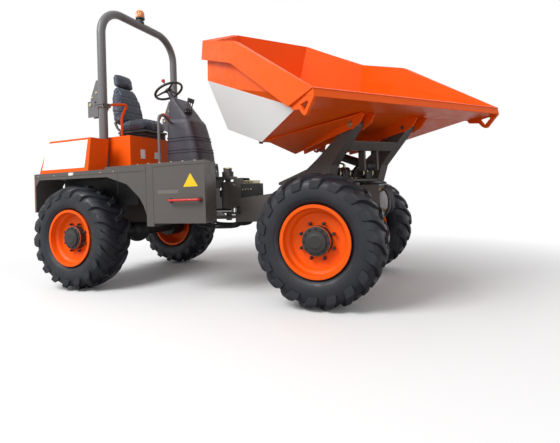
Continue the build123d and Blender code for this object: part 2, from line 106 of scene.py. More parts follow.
# ---- mesh helpers --------------------------------------------------------
# A part is (points, faces).  Round things are grids of two parameters worked out as whole arrays.
def grid(p, wrap_u=False, wrap_v=False, caps=False):
    """Quads over an array of points (u, v, 3); wrapped ways join up, caps close the two ends along u."""
    p = np.asarray(p, float)
    nu, nv = p.shape[:2]
    i = np.arange(nu if wrap_u else nu - 1)[:, None]
    j = np.arange(nv if wrap_v else nv - 1)[None, :]
    a, b = i * nv + j, ((i + 1) % nu) * nv + j
    c, d = ((i + 1) % nu) * nv + (j + 1) % nv, i * nv + (j + 1) % nv
    faces = np.stack([a, b, c, d], -1).reshape(-1, 4).tolist()
    if caps:
        faces += [list(range(nv))[::-1], list(range((nu - 1) * nv, nu * nv))]
    return p.reshape(-1, 3), faces


def moved(part, way):
    """The part with its points carried by a function of an (n, 3) array."""
    return way(part[0]), part[1]


def across(part):
    """The part's mirror image over the middle plane."""
    return part[0] * [1, -1, 1], part[1]


def both(parts):
    """The parts and their mirror images."""
    return parts + [across(p) for p in parts]


def slab(outline, axis, low, high):
    """A closed outline in the plane across axis, given the thickness from low to high along it."""
    o = np.asarray(outline, float)
    rows = []
    for level in (low, high):
        k = np.full(len(o), level)
        put = {"x": (k, o[:, 0], o[:, 1]), "y": (o[:, 0], k, o[:, 1]), "z": (o[:, 0], o[:, 1], k)}
        rows.append(np.stack(put[axis], -1))
    return grid(np.stack(rows), wrap_v=True, caps=True)


def block(x0, x1, y0, y1, z0, z1):
    """A box between two planes of each kind."""
    return slab([(x0, y0), (x1, y0), (x1, y1), (x0, y1)], "z", z0, z1)


def spin(profile, centre, axis="y", n=64, closed=False):
    """Profile (radius, along) turned once: centre + radius (cos t, sin t) across the axis + along it."""
    r, a = np.asarray(profile, float).T
    t = np.linspace(0, 2 * pi, n, endpoint=False)[:, None]
    x, y, z = r * np.cos(t), np.broadcast_to(a, (n, len(a))), r * np.sin(t)
    put = {"y": (x, y, z), "z": (z, x, y), "x": (y, z, x)}[axis]
    return grid(np.stack(put, -1) + np.asarray(centre, float), wrap_u=True, wrap_v=closed)


def frames(path):
    """Unit tangent and two unit normals along a path, carried without twist from the first."""
    t = np.gradient(path, axis=0)
    t /= np.linalg.norm(t, axis=1)[:, None]
    n = np.cross(t[0], [0, 0, 1.0] if abs(t[0, 2]) < 0.9 else [1.0, 0, 0])
    out = []
    for k in t:
        n = n - (n @ k) * k
        n = n / np.linalg.norm(n)
        out.append(n)
    n = np.array(out)
    return t, n, np.cross(t, n)


def smooth(points, n=12):
    """Catmull-Rom curve: the cubic whose slope at a point is half the gap between its neighbours."""
    p = np.asarray(points, float)
    q = np.vstack([2 * p[0] - p[1], p, 2 * p[-1] - p[-2]])
    t = np.linspace(0, 1, n, endpoint=False)[:, None]
    runs = [0.5 * (2 * b + (c - a) * t + (2 * a - 5 * b + 4 * c - d) * t**2
                   + (3 * b - a - 3 * c + d) * t**3)
            for a, b, c, d in zip(q[:-3], q[1:-2], q[2:-1], q[3:])]
    return np.vstack(runs + [p[-1:]])


def rounded(points, r, n=6):
    """Straight runs with each corner cut back by r and bridged by a quadratic arc."""
    p = [np.asarray(k, float) for k in points]
    t = np.linspace(0, 1, n)[:, None]
    out = [p[0][None]]
    for a, b, c in zip(p[:-2], p[1:-1], p[2:]):
        u, v = b + (a - b) / np.linalg.norm(a - b) * r, b + (c - b) / np.linalg.norm(c - b) * r
        out.append((1 - t) ** 2 * u + 2 * t * (1 - t) * b + t**2 * v)
    return np.vstack(out + [p[-1][None]])


def tube(path, r, n=16):
    """Circle of radius r carried along the path by its own frames; both ends capped."""
    path = np.asarray(path, float)
    _, a, b = frames(path)
    t = np.linspace(0, 2 * pi, n, endpoint=False)
    rr = np.broadcast_to(np.asarray(r, float), (len(path),))[:, None, None]
    spokes = np.cos(t)[None, :, None] * a[:, None] + np.sin(t)[None, :, None] * b[:, None]
    return grid(path[:, None] + rr * spokes, wrap_v=True, caps=True)


def bar(p, q, r, n=20):
    """A straight round bar between two points, r one radius or one for each end."""
    p, q = np.asarray(p, float), np.asarray(q, float)
    t = np.linspace(0, 1, 3)[:, None]
    rr = np.interp(t[:, 0], [0, 1], np.broadcast_to(r, (2,)))
    return tube(p + (q - p) * t, rr, n)


def bolt(p, axis, r=0.012, h=0.010):
    """A six-sided head standing on p along axis, on a thin washer."""
    p, k = np.asarray(p, float), np.asarray(axis, float)
    k = k / np.linalg.norm(k)
    return [bar(p - k * 0.002, p + k * 0.002, r * 1.35, 16), bar(p, p + k * h, r, 6)]


def make(name, parts, material, body, bevel=0.0, angle=35.0):
    """Joins parts into one mesh object, smooth below an angle in degrees, and lets it ride on its body."""
    verts, faces, start = [], [], 0
    for v, f in parts:
        verts.append(v)
        faces += [[k + start for k in face] for face in f]
        start += len(v)
    mesh = bpy.data.meshes.new(name)
    mesh.from_pydata(np.vstack(verts).tolist(), [], faces)
    bm = bmesh.new()
    bm.from_mesh(mesh)
    bmesh.ops.remove_doubles(bm, verts=bm.verts, dist=1e-6)
    bmesh.ops.recalc_face_normals(bm, faces=bm.faces)
    bm.to_mesh(mesh)
    bm.free()
    mesh.polygons.foreach_set("use_smooth", np.ones(len(mesh.polygons), bool))
    mesh.set_sharp_from_angle(angle=radians(angle))
    mesh.materials.append(material)
    obj = bpy.data.objects.new(name, mesh)
    bpy.context.scene.collection.objects.link(obj)
    if bevel:
        m = obj.modifiers.new("edge", "BEVEL")
        m.width, m.segments, m.limit_method, m.angle_limit = bevel, 2, "ANGLE", radians(40)
        m.harden_normals = True
    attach(obj, body)
    return obj


# ---- finishes ------------------------------------------------------------
DUST_TOP = 1.35                           # height above which no dust settles
YARD_DUST, TYRE_DUST = (0.20, 0.175, 0.145), (0.13, 0.125, 0.125)


def nodes_of(name):
    """A new material, its node tree and its shader."""
    m = bpy.data.materials.new(name)
    m.use_nodes = True
    return m, m.node_tree, m.node_tree.nodes["Principled BSDF"]


def noise(tree, scale, detail=4.0, rough=0.5):
    """Noise of about scale bumps to the metre."""
    n = tree.nodes.new("ShaderNodeTexNoise")
    n.inputs["Scale"].default_value = scale
    n.inputs["Detail"].default_value = detail
    n.inputs["Roughness"].default_value = rough
    tree.links.new(place(tree), n.inputs["Vector"])
    return n.outputs["Fac"]


def place(tree):
    """The surface point in metres, from one node for each tree."""
    found = [n for n in tree.nodes if n.bl_idname == "ShaderNodeTexCoord"]
    n = found[0] if found else tree.nodes.new("ShaderNodeTexCoord")
    return n.outputs["Object"]


def ramp(tree, fac, stops):
    """Colour or grey that runs through stops (place, value) as fac rises."""
    n = tree.nodes.new("ShaderNodeValToRGB")
    cr = n.color_ramp
    while len(cr.elements) < len(stops):
        cr.elements.new(0.5)
    for e, (at, c) in zip(cr.elements, stops):
        e.position = at
        e.color = (*c, 1) if hasattr(c, "__len__") else (c, c, c, 1)
    tree.links.new(fac, n.inputs["Fac"])
    return n.outputs["Color"]


def mix(tree, fac, a, b):
    """Colour a (1 - fac) + b fac, each a colour or a socket."""
    n = tree.nodes.new("ShaderNodeMix")
    n.data_type = "RGBA"
    tree.links.new(fac, n.inputs["Factor"])
    for socket, value in ((n.inputs["A"], a), (n.inputs["B"], b)):
        if hasattr(value, "is_output"):
            tree.links.new(value, socket)
        else:
            socket.default_value = (*value, 1)
    return n.outputs["Result"]


def maths(tree, kind, a, b):
    """One sum of two values, each a number or a socket."""
    n = tree.nodes.new("ShaderNodeMath")
    n.operation = kind
    for socket, value in zip(n.inputs, (a, b)):
        if hasattr(value, "is_output"):
            tree.links.new(value, socket)
        else:
            socket.default_value = value
    return n.outputs["Value"]


def bump(tree, shader, height, strength, distance, edge=0.0):
    """Relief from a height, over edges that look rounded by a radius of edge."""
    n = tree.nodes.new("ShaderNodeBump")
    n.inputs["Strength"].default_value = strength
    n.inputs["Distance"].default_value = distance
    tree.links.new(height, n.inputs["Height"])
    if edge:
        b = tree.nodes.new("ShaderNodeBevel")
        b.samples = 4
        b.inputs["Radius"].default_value = edge
        tree.links.new(b.outputs["Normal"], n.inputs["Normal"])
    tree.links.new(n.outputs["Normal"], shader.inputs["Normal"])


def paint(name, colour, rough=0.35, coat=0.0, edge=0.005, dust=0.0, speck=0.05, shine=0.38):
    """Sprayed steel: a slow noise moves the colour a little, dust gathers as height falls below DUST_TOP, a
    second noise varies the gloss, and a fine noise is the peel."""
    m, tree, sh = nodes_of(name)
    c = np.array(colour)
    slow = noise(tree, 2.2, 5.0)
    base = ramp(tree, slow, [(0.3, c * (1 - speck)), (0.7, np.minimum(c * (1 + speck), 1))])
    if dust:
        sep = tree.nodes.new("ShaderNodeSeparateXYZ")
        tree.links.new(place(tree), sep.inputs[0])
        low = maths(tree, "SUBTRACT", DUST_TOP, sep.outputs["Z"])
        low = maths(tree, "MULTIPLY", low, noise(tree, 6.0, 6.0))
        low = maths(tree, "MULTIPLY", low, dust)
        low.node.use_clamp = True
        base = mix(tree, low, base, YARD_DUST)
    tree.links.new(base, sh.inputs["Base Color"])
    r = ramp(tree, noise(tree, 9.0, 6.0), [(0.3, rough * 0.85), (0.75, min(rough * 1.25, 1))])
    tree.links.new(r, sh.inputs["Roughness"])
    sh.inputs["Specular IOR Level"].default_value = shine
    sh.inputs["Coat Weight"].default_value = coat
    sh.inputs["Coat Roughness"].default_value = 0.12
    bump(tree, sh, noise(tree, 420.0, 2.0), 0.10, 0.001, edge)
    return m


def rubber(name, colour, dust):
    """Tyre rubber: a slow shift of colour, grey dust in broad patches and a fine grain."""
    m, tree, sh = nodes_of(name)
    c = np.array(colour)
    base = ramp(tree, noise(tree, 5.0, 6.0), [(0.3, c * 0.75), (0.7, c * 1.3)])
    patch = ramp(tree, noise(tree, 3.0, 8.0, rough=0.65), [(0.45, 0.0), (0.8, dust)])
    base = mix(tree, patch, base, TYRE_DUST)
    tree.links.new(base, sh.inputs["Base Color"])
    r = ramp(tree, noise(tree, 14.0, 5.0), [(0.3, 0.42), (0.75, 0.68)])
    tree.links.new(r, sh.inputs["Roughness"])
    bump(tree, sh, noise(tree, 160.0, 4.0), 0.25, 0.002)
    return m


def plastic(name, colour, rough=0.5, grain=220.0):
    """Moulded plastic: one colour with a slow shift and a pebble grain."""
    m, tree, sh = nodes_of(name)
    c = np.array(colour)
    tone = ramp(tree, noise(tree, 3.0, 4.0), [(0.3, c * 0.9), (0.7, c * 1.1)])
    tree.links.new(tone, sh.inputs["Base Color"])
    r = ramp(tree, noise(tree, 20.0, 4.0), [(0.3, rough * 0.85), (0.7, min(rough * 1.2, 1))])
    tree.links.new(r, sh.inputs["Roughness"])
    bump(tree, sh, noise(tree, grain, 3.0), 0.18, 0.001)
    return m


def vinyl(name, colour):
    """Seat covering: the cells of a Voronoi pattern are the leather grain, over a slow fading of colour."""
    m, tree, sh = nodes_of(name)
    c = np.array(colour)
    tone = ramp(tree, noise(tree, 7.0, 6.0), [(0.3, c * 0.8), (0.72, c * 1.25)])
    tree.links.new(tone, sh.inputs["Base Color"])
    v = tree.nodes.new("ShaderNodeTexVoronoi")
    v.feature = "DISTANCE_TO_EDGE"
    v.inputs["Scale"].default_value = 260.0
    tree.links.new(place(tree), v.inputs["Vector"])
    gloss = ramp(tree, noise(tree, 18.0, 4.0), [(0.3, 0.42), (0.7, 0.6)])
    tree.links.new(gloss, sh.inputs["Roughness"])
    sh.inputs["Sheen Weight"].default_value = 0.15
    bump(tree, sh, v.outputs["Distance"], 0.35, 0.002)
    return m


def lens(name, colour):
    """Amber plastic: part of the light goes through, and a slow noise ripples it."""
    m, tree, sh = nodes_of(name)
    tone = ramp(tree, noise(tree, 30.0, 3.0), [(0.3, np.array(colour) * 0.85), (0.7, colour)])
    tree.links.new(tone, sh.inputs["Base Color"])
    sh.inputs["Roughness"].default_value = 0.12
    sh.inputs["Transmission Weight"].default_value = 0.35
    sh.inputs["Coat Weight"].default_value = 0.6
    bump(tree, sh, noise(tree, 90.0, 2.0), 0.08, 0.001)
    return m


def bare_metal(name, colour, rough=0.25):
    """Plated or bare steel, a little duller where the noise is high."""
    m, tree, sh = nodes_of(name)
    c = np.array(colour)
    tone = ramp(tree, noise(tree, 12.0, 5.0), [(0.3, c * 0.85), (0.7, c)])
    tree.links.new(tone, sh.inputs["Base Color"])
    sh.inputs["Metallic"].default_value = 1.0
    gloss = ramp(tree, noise(tree, 60.0, 5.0), [(0.3, rough * 0.7), (0.7, rough * 1.5)])
    tree.links.new(gloss, sh.inputs["Roughness"])
    bump(tree, sh, noise(tree, 300.0, 2.0), 0.06, 0.001)
    return m


ORANGE = paint("orange_enamel", (0.97, 0.112, 0.002), rough=0.44, coat=0.02, edge=0.006, shine=0.24)
GREY = paint("chassis_grey", (0.098, 0.088, 0.082), rough=0.42, coat=0.05, edge=0.005, dust=0.16)
HOOP = paint("hoop_grey", (0.15, 0.15, 0.155), rough=0.38, coat=0.10, edge=0.004)
DARK = paint("running_gear_black", (0.022, 0.022, 0.024), rough=0.5, edge=0.004, dust=0.20)
WHITE = paint("blank_white_panel", (0.95, 0.95, 0.94), rough=0.40, coat=0.05, edge=0.0, speck=0.004)
YELLOW = paint("yellow_triangle", (0.90, 0.62, 0.02), rough=0.35, edge=0.0)
RED = paint("red_handle", (0.62, 0.030, 0.018), rough=0.35, coat=0.3, edge=0.0)
PLATE = paint("blank_plate", (0.16, 0.150, 0.138), rough=0.35, edge=0.0, speck=0.02)
TYRE = rubber("tyre_rubber", (0.0095, 0.0105, 0.0165), dust=0.10)
CONSOLE = plastic("console_moulding", (0.043, 0.040, 0.054), rough=0.5)
BLACK = plastic("black_plastic", (0.020, 0.020, 0.022), rough=0.42)
HOSE = plastic("hose_rubber", (0.018, 0.018, 0.020), rough=0.5, grain=500.0)
SEAT = vinyl("seat_vinyl", (0.026, 0.036, 0.060))
AMBER = lens("amber_lens", (0.95, 0.30, 0.015))
CHROME = bare_metal("rod_chrome", (0.75, 0.75, 0.76), 0.12)
STEEL = bare_metal("zinc_steel", (0.58, 0.50, 0.34), 0.34)

LOOKS = [  # finish, CAD nodes that show it
    (ORANGE, "hood_side_left hood_side_right grab_rail_left grab_rail_right seat_box bonnet "
             "skip_shell skip_band skip_ears rim_front_right rim_front_left rim_rear_right rim_rear_left"),
    (GREY, "rear_frame tow_hitch deck fender_left fender_right side_box_left side_box_right "
           "front_frame slew_ring subframe"),
    (HOOP, "rops_hoop rops_base_left rops_base_right"),
    (DARK, "rear_axle front_axle engine_block valve_block steer_barrel tip_barrel"),
    (CONSOLE, "console"),
    (BLACK, "levers steering_wheel"),
    (AMBER, "beacon"),
    (CHROME, "tip_rod steer_rod"),
    (SEAT, "seat_cushion seat_back headrest"),
    (TYRE, "tyre_front_right tyre_front_left tyre_rear_right tyre_rear_left")]


def dress():
    """Gives each CAD node its finish."""
    for finish, names in LOOKS:
        for n in names.split():
            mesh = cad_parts[n].data
            mesh.materials.clear()
            mesh.materials.append(finish)


# ---- tyres and wheels ----------------------------------------------------
CROWN_R = 0.562                           # carcass radius between the lugs
LUGS = 18                                 # tread bars on each side
STUD_R = 0.160                            # circle of the wheel nuts


def tyre_section(t):
    """Squared ellipse from bead to bead: radius and width go by signed powers of the sine and cosine of t."""
    r_mid, r_half = (BEAD_R + CROWN_R) / 2 + 0.004, (CROWN_R - BEAD_R) / 2 - 0.002
    w_half = TYRE_W / 2 - 0.011
    s, c = np.sin(t), np.cos(t)
    r = r_mid + r_half * np.sign(s) * np.abs(s) ** 0.80
    y = w_half * np.sign(c) * np.abs(c) ** np.where(s > 0, 0.62, 0.50)
    return r, y


def tyre_lug(side):
    """One bar of the tread on its side of the middle: it leaves the crown, sweeps back as it nears the
    shoulder, then fades down the wall.  Rows go along the bar, columns round its trapezoid section."""
    s = np.linspace(0, 1, 17)
    t = radians(91) - radians(85) * s**0.9
    r, y = tyre_section(t)
    r2, y2 = tyre_section(t + 1e-3)
    tangent = np.stack([r2 - r, y2 - y], -1)
    tangent /= np.linalg.norm(tangent, axis=1)[:, None]
    out = np.stack([tangent[:, 1], -tangent[:, 0]], -1)
    out *= np.sign(out[:, :1] * (r - 0.43)[:, None] + out[:, 1:] * y[:, None])
    crown = WHEEL_R - r[0]
    high = np.interp(s, [0, 0.45, 0.76, 0.95, 1], [crown, crown * 1.1, crown * 1.3, 0.034, 0.004])
    back = -0.180 * (1 - (1 - s) ** 1.7)
    half = np.interp(s, [0, 0.4, 0.78, 1], [0.025, 0.033, 0.050, 0.043])
    span = np.array([-1.35, -1.12, -0.94, -0.80, 0.80, 0.94, 1.12, 1.35])
    up = np.array([-0.3, 0.45, 0.93, 1.0, 1.0, 0.93, 0.45, -0.3])
    h = high[:, None] * up - 0.004 * (up < 0)
    rr = np.minimum(r[:, None] + out[:, :1] * h, WHEEL_R)
    yy = side * (y[:, None] + out[:, 1:] * h + 0.006)
    yy = np.clip(yy, -TYRE_W / 2, TYRE_W / 2)
    a = (back[:, None] + half[:, None] * span) / WHEEL_R
    return np.stack([rr * np.sin(a), yy, rr * np.cos(a)], -1)


def tyre(name, x, side):
    """Carcass turned from its section, LUGS bars a side with the left row half a pitch behind the right, and
    three fine ridges round each wall."""
    n = 96
    r, y = tyre_section(np.linspace(radians(-62), radians(242), 41))
    beads = [[BEAD_R - 0.002, y[k] * 0.98] for k in (0, -1)]
    profile = np.vstack([beads[0], np.column_stack([r, y]), beads[1]])
    parts = [spin(profile, (0, 0, 0), "y", n, closed=True)]
    for row, shift in ((-1, 0.0), (1, 0.5)):
        lug = tyre_lug(row)
        for k in range(LUGS):
            a = 2 * pi * (k + shift) / LUGS
            turn = np.array([[cos(a), 0, sin(a)], [0, 1, 0], [-sin(a), 0, cos(a)]])
            parts.append(grid(lug @ turn.T, wrap_v=True, caps=True))
    t = np.linspace(radians(-40), radians(60), 60)
    for wall in (-1, 1):
        for ridge_r, wide in ((0.345, 0.006), (0.372, 0.003), (0.505, 0.004)):
            at = np.interp(ridge_r, tyre_section(t)[0], t)
            w = tyre_section(np.array([at]))[1][0] * wall
            ridge = [(ridge_r - wide, w - wall * 0.004), (ridge_r, w + wall * 0.0015),
                     (ridge_r + wide, w - wall * 0.004)]
            parts.append(spin(ridge, (0, 0, 0), "y", n, closed=True))

    def set_down(p):
        return here(p + [x, side * TRACK_HALF, WHEEL_R])

    obj = make("tread_" + name, [moved(p, set_down) for p in parts], TYRE, "wheel_" + name, angle=28)
    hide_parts("tyre_" + name)


def hub(name, x, side):
    """Dark planetary hub over the rim's boss: a stepped cover, twelve ribs, eight nuts and their studs."""
    face = [(0.0, -0.156), (0.055, -0.156), (0.062, -0.151), (0.094, -0.150), (0.096, -0.133),
            (0.124, -0.131), (0.1315, -0.124), (0.1315, -0.055), (0.0, -0.055)]
    parts = [spin(face, (0, 0, 0), "y", 48)]
    for k in range(12):
        a = 2 * pi * k / 12
        c, s = 0.112 * cos(a), 0.112 * sin(a)
        parts.append(bar((c, -0.140, s), (c, -0.120, s), 0.010, 8))
    for k in range(8):
        a = radians(22.5 + 45 * k)
        c, s = STUD_R * cos(a), STUD_R * sin(a)
        parts.append(bar((c, -0.100, s), (c, -0.050, s), 0.016, 6))
        parts.append(bar((c, -0.112, s), (c, -0.100, s), 0.009, 10))

    def set_down(p):
        return here(p * [1, -side, 1] + [x, side * TRACK_HALF, WHEEL_R])

    make("hub_" + name, [moved(p, set_down) for p in parts], DARK, "wheel_" + name)


# ---- blank panels --------------------------------------------------------
SHEET = 0.0015                            # how far a sticker's sheet stands off its plate
SEAT_FRONT = -2.3995                      # front face of the seat box


def sheet_on(corners, inset=0.0):
    """Thin closed sheet over a plane outline, its corners drawn in by inset and lifted along the normal."""
    p = np.asarray(corners, float)
    mid = p.mean(0)
    away = p - mid
    p = mid + away * (1 - inset / np.linalg.norm(away, axis=1)[:, None])
    n = np.cross(p[1] - p[0], p[-1] - p[0])
    n /= np.linalg.norm(n)
    return grid(np.stack([p - n * 0.001, p + n * SHEET]), wrap_v=True, caps=True)


def panels():
    """Plain white sheets on the hood sides and the skip's flanks, a plain triangle and plain plates."""
    hood = [(-3.385, 1.375), (-3.29, 1.665), (-3.27, 1.682), (-2.635, 1.682), (-2.700, 1.375)]
    sheets = [slab(hood, "y", s * (BODY_W - 0.001), s * (BODY_W + SHEET)) for _, s in SIDES]
    sheets.append(block(-2.945, -2.872, -BODY_W - 0.0055, -BODY_W - 0.003, 1.295, 1.325))
    for y0, y1, z0, z1 in ((-0.445, -0.37, 1.49, 1.60), (-0.20, -0.08, 1.50, 1.58)):
        sheets.append(sheet_on([(SEAT_FRONT, y, z) for y, z in ((y0, z0), (y1, z0), (y1, z1), (y0, z1))]))
    make("blank_hood_panels", [moved(p, here) for p in sheets], WHITE, "rear_unit", angle=20)
    flank = [(-0.900, 1.100, 1.778), (0.957, 0.980, 1.700), (0.112, 0.835, 1.2695), (-0.749, 0.868, 1.254)]
    near = sheet_on([(d, -w, z) for d, w, z in flank][::-1], inset=0.004)
    make("blank_skip_panels", [moved(p, on_skip) for p in both([near])], WHITE, "skip", angle=20)
    left, right, top = (-1.364, 1.106), (-1.190, 1.106), (-1.277, 1.240)
    outline = rounded([left, right, top, left], 0.010, 4)[:-1]
    out, back = -BODY_W - SHEET, -BODY_W + 0.001
    triangle = slab(outline, "y", out, back)
    make("blank_triangle", [moved(triangle, here)], YELLOW, "rear_unit", angle=20)
    plate = block(-1.680, -1.425, out, back, 1.045, 1.082)
    make("blank_plate", [moved(plate, here)], PLATE, "rear_unit", angle=20)


# ---- skip ----------------------------------------------------------------
def skip_details():
    """Pivot pins with their washers and keeper bolts, the weld beads along the ears and the drain stubs."""
    pins = []
    for s in (-1, 1):
        c = np.array([TIP_D, s * EAR_OUT, TIP_Z])
        out = np.array([0, s, 0])
        pins += [bar(c - out * 0.002, c + out * 0.006, 0.031, 32), bar(c, c + out * 0.013, 0.021, 32)]
        pins += bolt(c + [0, s * 0.013, 0], out, 0.011, 0.009)
    make("skip_pivot_pins", [moved(p, on_skip) for p in pins], STEEL, "skip")
    beads = []
    for s in (-1, 1):
        for w in (ARM_W - ARM_T / 2 - 0.014, EAR_OUT - 0.006):
            beads.append(bar((-0.03, s * w, 1.262), (0.10, s * w, 1.268), 0.008, 8))
            beads.append(bar((0.14, s * w, 1.283), (0.94, s * w, 1.691), 0.009, 8))
    make("skip_welds", [moved(p, on_skip) for p in beads], ORANGE, "skip")
    stubs = [bar((0.02, s * 0.80, 1.262), (0.02, s * 0.80, 1.240), 0.022, 20) for s in (-1, 1)]
    make("skip_drain_stubs", [moved(p, on_skip) for p in stubs], BLACK, "skip")


# ---- driver's station ----------------------------------------------------
SHELL = np.array([  # height, rear x, front x, half width of the moulded pedestal
    (1.360, -2.218, -1.728, 0.224), (1.500, -2.226, -1.738, 0.222), (1.640, -2.224, -1.768, 0.219),
    (1.770, -2.222, -1.800, 0.217), (1.860, -2.220, -1.826, 0.213), (1.930, -2.219, -1.848, 0.206),
    (1.965, -2.217, -1.872, 0.190), (1.985, -2.216, -1.890, 0.172), (2.060, -2.215, -1.944, 0.171),
    (2.150, -2.205, -2.020, 0.169), (2.215, -2.184, -2.072, 0.166), (2.248, -2.168, -2.100, 0.160),
    (2.262, -2.158, -2.118, 0.150)])
RIBS = (1.556, 1.590, 1.703, 1.741)       # heights of the raised ribs round the pedestal
GROOVE = 0.007                            # depth and half width of a sewn channel
CLOTH_FRAMES = 20                         # steps of pressure that fill a cushion
HANDLE_X = (-1.515, -1.165)               # feet of the side box's grab handle
RING_R, GRIP_R = 0.180, 0.016             # steering wheel's ring and the thickness of its grip
KNOB = (0.083, -0.160)                    # spinner knob, ahead and to the right in the wheel's plane


def console_shell():
    """Pedestal lofted through squared ellipses |x/a|^5 + |y/b|^5 = 1, with a lift of 7 mm on each rib, and
    the steering column on it."""
    z = [SHELL[:, 0], np.linspace(1.36, 2.24, 45)] + [r + np.array([-12, -7, 7, 12]) / 1e3 for r in RIBS]
    z = np.unique(np.round(np.concatenate(z), 4))
    lift = sum(np.interp(abs(z - r), [0.007, 0.012], [0.007, 0]) for r in RIBS)
    back, ahead, half = (np.interp(z, SHELL[:, 0], SHELL[:, k]) for k in (1, 2, 3))
    t = np.linspace(0, 2 * pi, 64, endpoint=False)
    c, s = (np.sign(f(t)) * np.abs(f(t)) ** 0.4 for f in (np.cos, np.sin))
    a, b = (ahead - back) / 2 + lift, half + lift
    x = ((ahead + back) / 2)[:, None] + a[:, None] * c
    y = b[:, None] * s
    shell = grid(np.stack([x, y, np.broadcast_to(z[:, None], x.shape)], -1), wrap_v=True, caps=True)
    up = np.array([sin(LEAN), 0, cos(LEAN)])
    column = [bar(HUB - up * 0.27, HUB - up * 0.10, (0.046, 0.036), 32),
              bar(HUB - up * 0.11, HUB - up * 0.016, 0.030, 32)]
    obj = make("console_shell", [moved(p, here) for p in [shell] + column], CONSOLE, "rear_unit", angle=32)
    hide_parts("console")


def steering_wheel():
    """Ring, three flat spokes and a boss in the plane across the column, and a spinner knob on its stalk."""
    def turned(p):
        ex, ez = np.array([cos(LEAN), 0, -sin(LEAN)]), np.array([sin(LEAN), 0, cos(LEAN)])
        return here(HUB + p[..., :1] * ex + p[..., 1:2] * [0, 1, 0] + p[..., 2:] * ez)

    t = np.linspace(0, 2 * pi, 16, endpoint=False)
    grip = np.column_stack([RING_R + GRIP_R * np.cos(t), GRIP_R * np.sin(t)])
    boss = [(0, -0.012), (0.030, -0.012), (0.046, 0.0), (0.046, 0.018), (0.036, 0.028), (0, 0.030)]
    parts = [spin(grip, (0, 0, 0), "z", 72, closed=True), spin(boss, (0, 0, 0), "z", 40)]
    for a in np.radians([90, 210, 330]):
        c, s = cos(a), sin(a)
        spoke = [[r * c, r * s, h] for r, h in ((0.03, 0.012), (0.09, 0.010), (0.14, 0.002), (0.178, 0.0))]
        parts.append(tube(spoke, np.array([0.016, 0.013, 0.011, 0.011]), 12))
    parts.append(bar((*KNOB, 0.004), (*KNOB, 0.042), 0.009, 16))
    obj = make("steering_wheel_rim", [moved(p, turned) for p in parts], BLACK, "steering_wheel")
    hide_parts("steering_wheel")
    bulb = [(0, 0.040), (0.014, 0.040), (0.021, 0.050), (0.024, 0.062), (0.021, 0.074), (0.011, 0.080),
            (0, 0.080)]
    knob = spin(bulb, (*KNOB, 0), "z", 32)
    make("spinner_knob", [moved(knob, turned)], RED, "steering_wheel")


def beacon():
    """Dark screwed base, a lamp, and a lens whose radius waves 24 times a turn: r = r0 (1 + 0.03 f cos 24t),
    where f fades to nothing at the top."""
    at = (ROPS_X, 0, ROPS_TOP)
    socket = [(0, -0.022), (0.050, -0.022), (0.052, 0.004), (0.040, 0.010), (0.040, 0.036), (0.059, 0.042),
              (0.061, 0.056), (0.056, 0.060), (0, 0.060)]
    make("beacon_base", [moved(spin(socket, at, "z", 48), here)], BLACK, "rops_hoop")
    profile = np.array([  # radius, height over the hoop, share of the wave
        (0.054, 0.058, 1), (0.056, 0.070, 1), (0.055, 0.110, 1), (0.051, 0.138, 0.8), (0.038, 0.156, 0.3),
        (0.016, 0.164, 0)])
    t = np.linspace(0, 2 * pi, 192, endpoint=False)
    r = profile[:, :1] * (1 + 0.03 * profile[:, 2:] * np.cos(24 * t))
    height = np.broadcast_to(profile[:, 1:2], r.shape)
    glass = grid(np.stack([r * np.cos(t), r * np.sin(t), height], -1) + at, wrap_v=True, caps=True)
    lamp = spin([(0, 0.060), (0.030, 0.060), (0.030, 0.105), (0.012, 0.120), (0, 0.120)], at, "z", 24)
    obj = make("beacon_lens", [moved(p, here) for p in (glass, lamp)], AMBER, "rops_hoop")
    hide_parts("beacon")


def applied(obj):
    """Puts the evaluated mesh in place of the object's own and clears its modifiers."""
    mesh = bpy.data.meshes.new_from_object(obj.evaluated_get(bpy.context.evaluated_depsgraph_get()))
    obj.modifiers.clear()
    obj.data = mesh
    return mesh


def blown_up(obj, cap, grooves):
    """Cloth under pressure on an even mesh.  A point moves by its cloth step, no further than cap; then each
    groove (axis, level) presses it in by 7 mm exp(-(distance / 7 mm)^2)."""
    scene = bpy.context.scene
    voxel = obj.modifiers.new("voxel", "REMESH")
    voxel.mode, voxel.voxel_size = "VOXEL", 0.0065
    mesh = applied(obj)
    first = np.empty(len(mesh.vertices) * 3)
    mesh.vertices.foreach_get("co", first)
    cloth = obj.modifiers.new("cloth", "CLOTH")
    cloth.settings.quality = 4
    cloth.settings.use_pressure = True
    cloth.settings.uniform_pressure_force = 4.0
    cloth.settings.effector_weights.gravity = 0.0
    cloth.point_cache.frame_start, cloth.point_cache.frame_end = 1, CLOTH_FRAMES
    for f in range(1, CLOTH_FRAMES + 1):
        scene.frame_set(f)
    mesh = applied(obj)
    last = np.empty(len(mesh.vertices) * 3)
    mesh.vertices.foreach_get("co", last)
    first, last = first.reshape(-1, 3), last.reshape(-1, 3)
    step = last - first
    far = np.linalg.norm(step, axis=1)[:, None]
    p = first + step * np.minimum(1, cap / np.maximum(far, 1e-9))
    normal = np.empty(len(p) * 3)
    mesh.vertices.foreach_get("normal", normal)
    normal = normal.reshape(-1, 3)
    for axis, level in grooves:
        q = p[:, axis] - ORIGIN[axis] if axis != 1 else np.abs(p[:, 1] - ORIGIN[1])
        p = p - normal * (GROOVE * np.exp(-(((q - level) / GROOVE) ** 2)))[:, None]
    mesh.vertices.foreach_set("co", p.ravel())
    fine = obj.modifiers.new("fine", "SUBSURF")
    fine.levels = fine.render_levels = 1
    mesh = applied(obj)
    mesh.polygons.foreach_set("use_smooth", np.ones(len(mesh.polygons), bool))
    scene.frame_set(1)


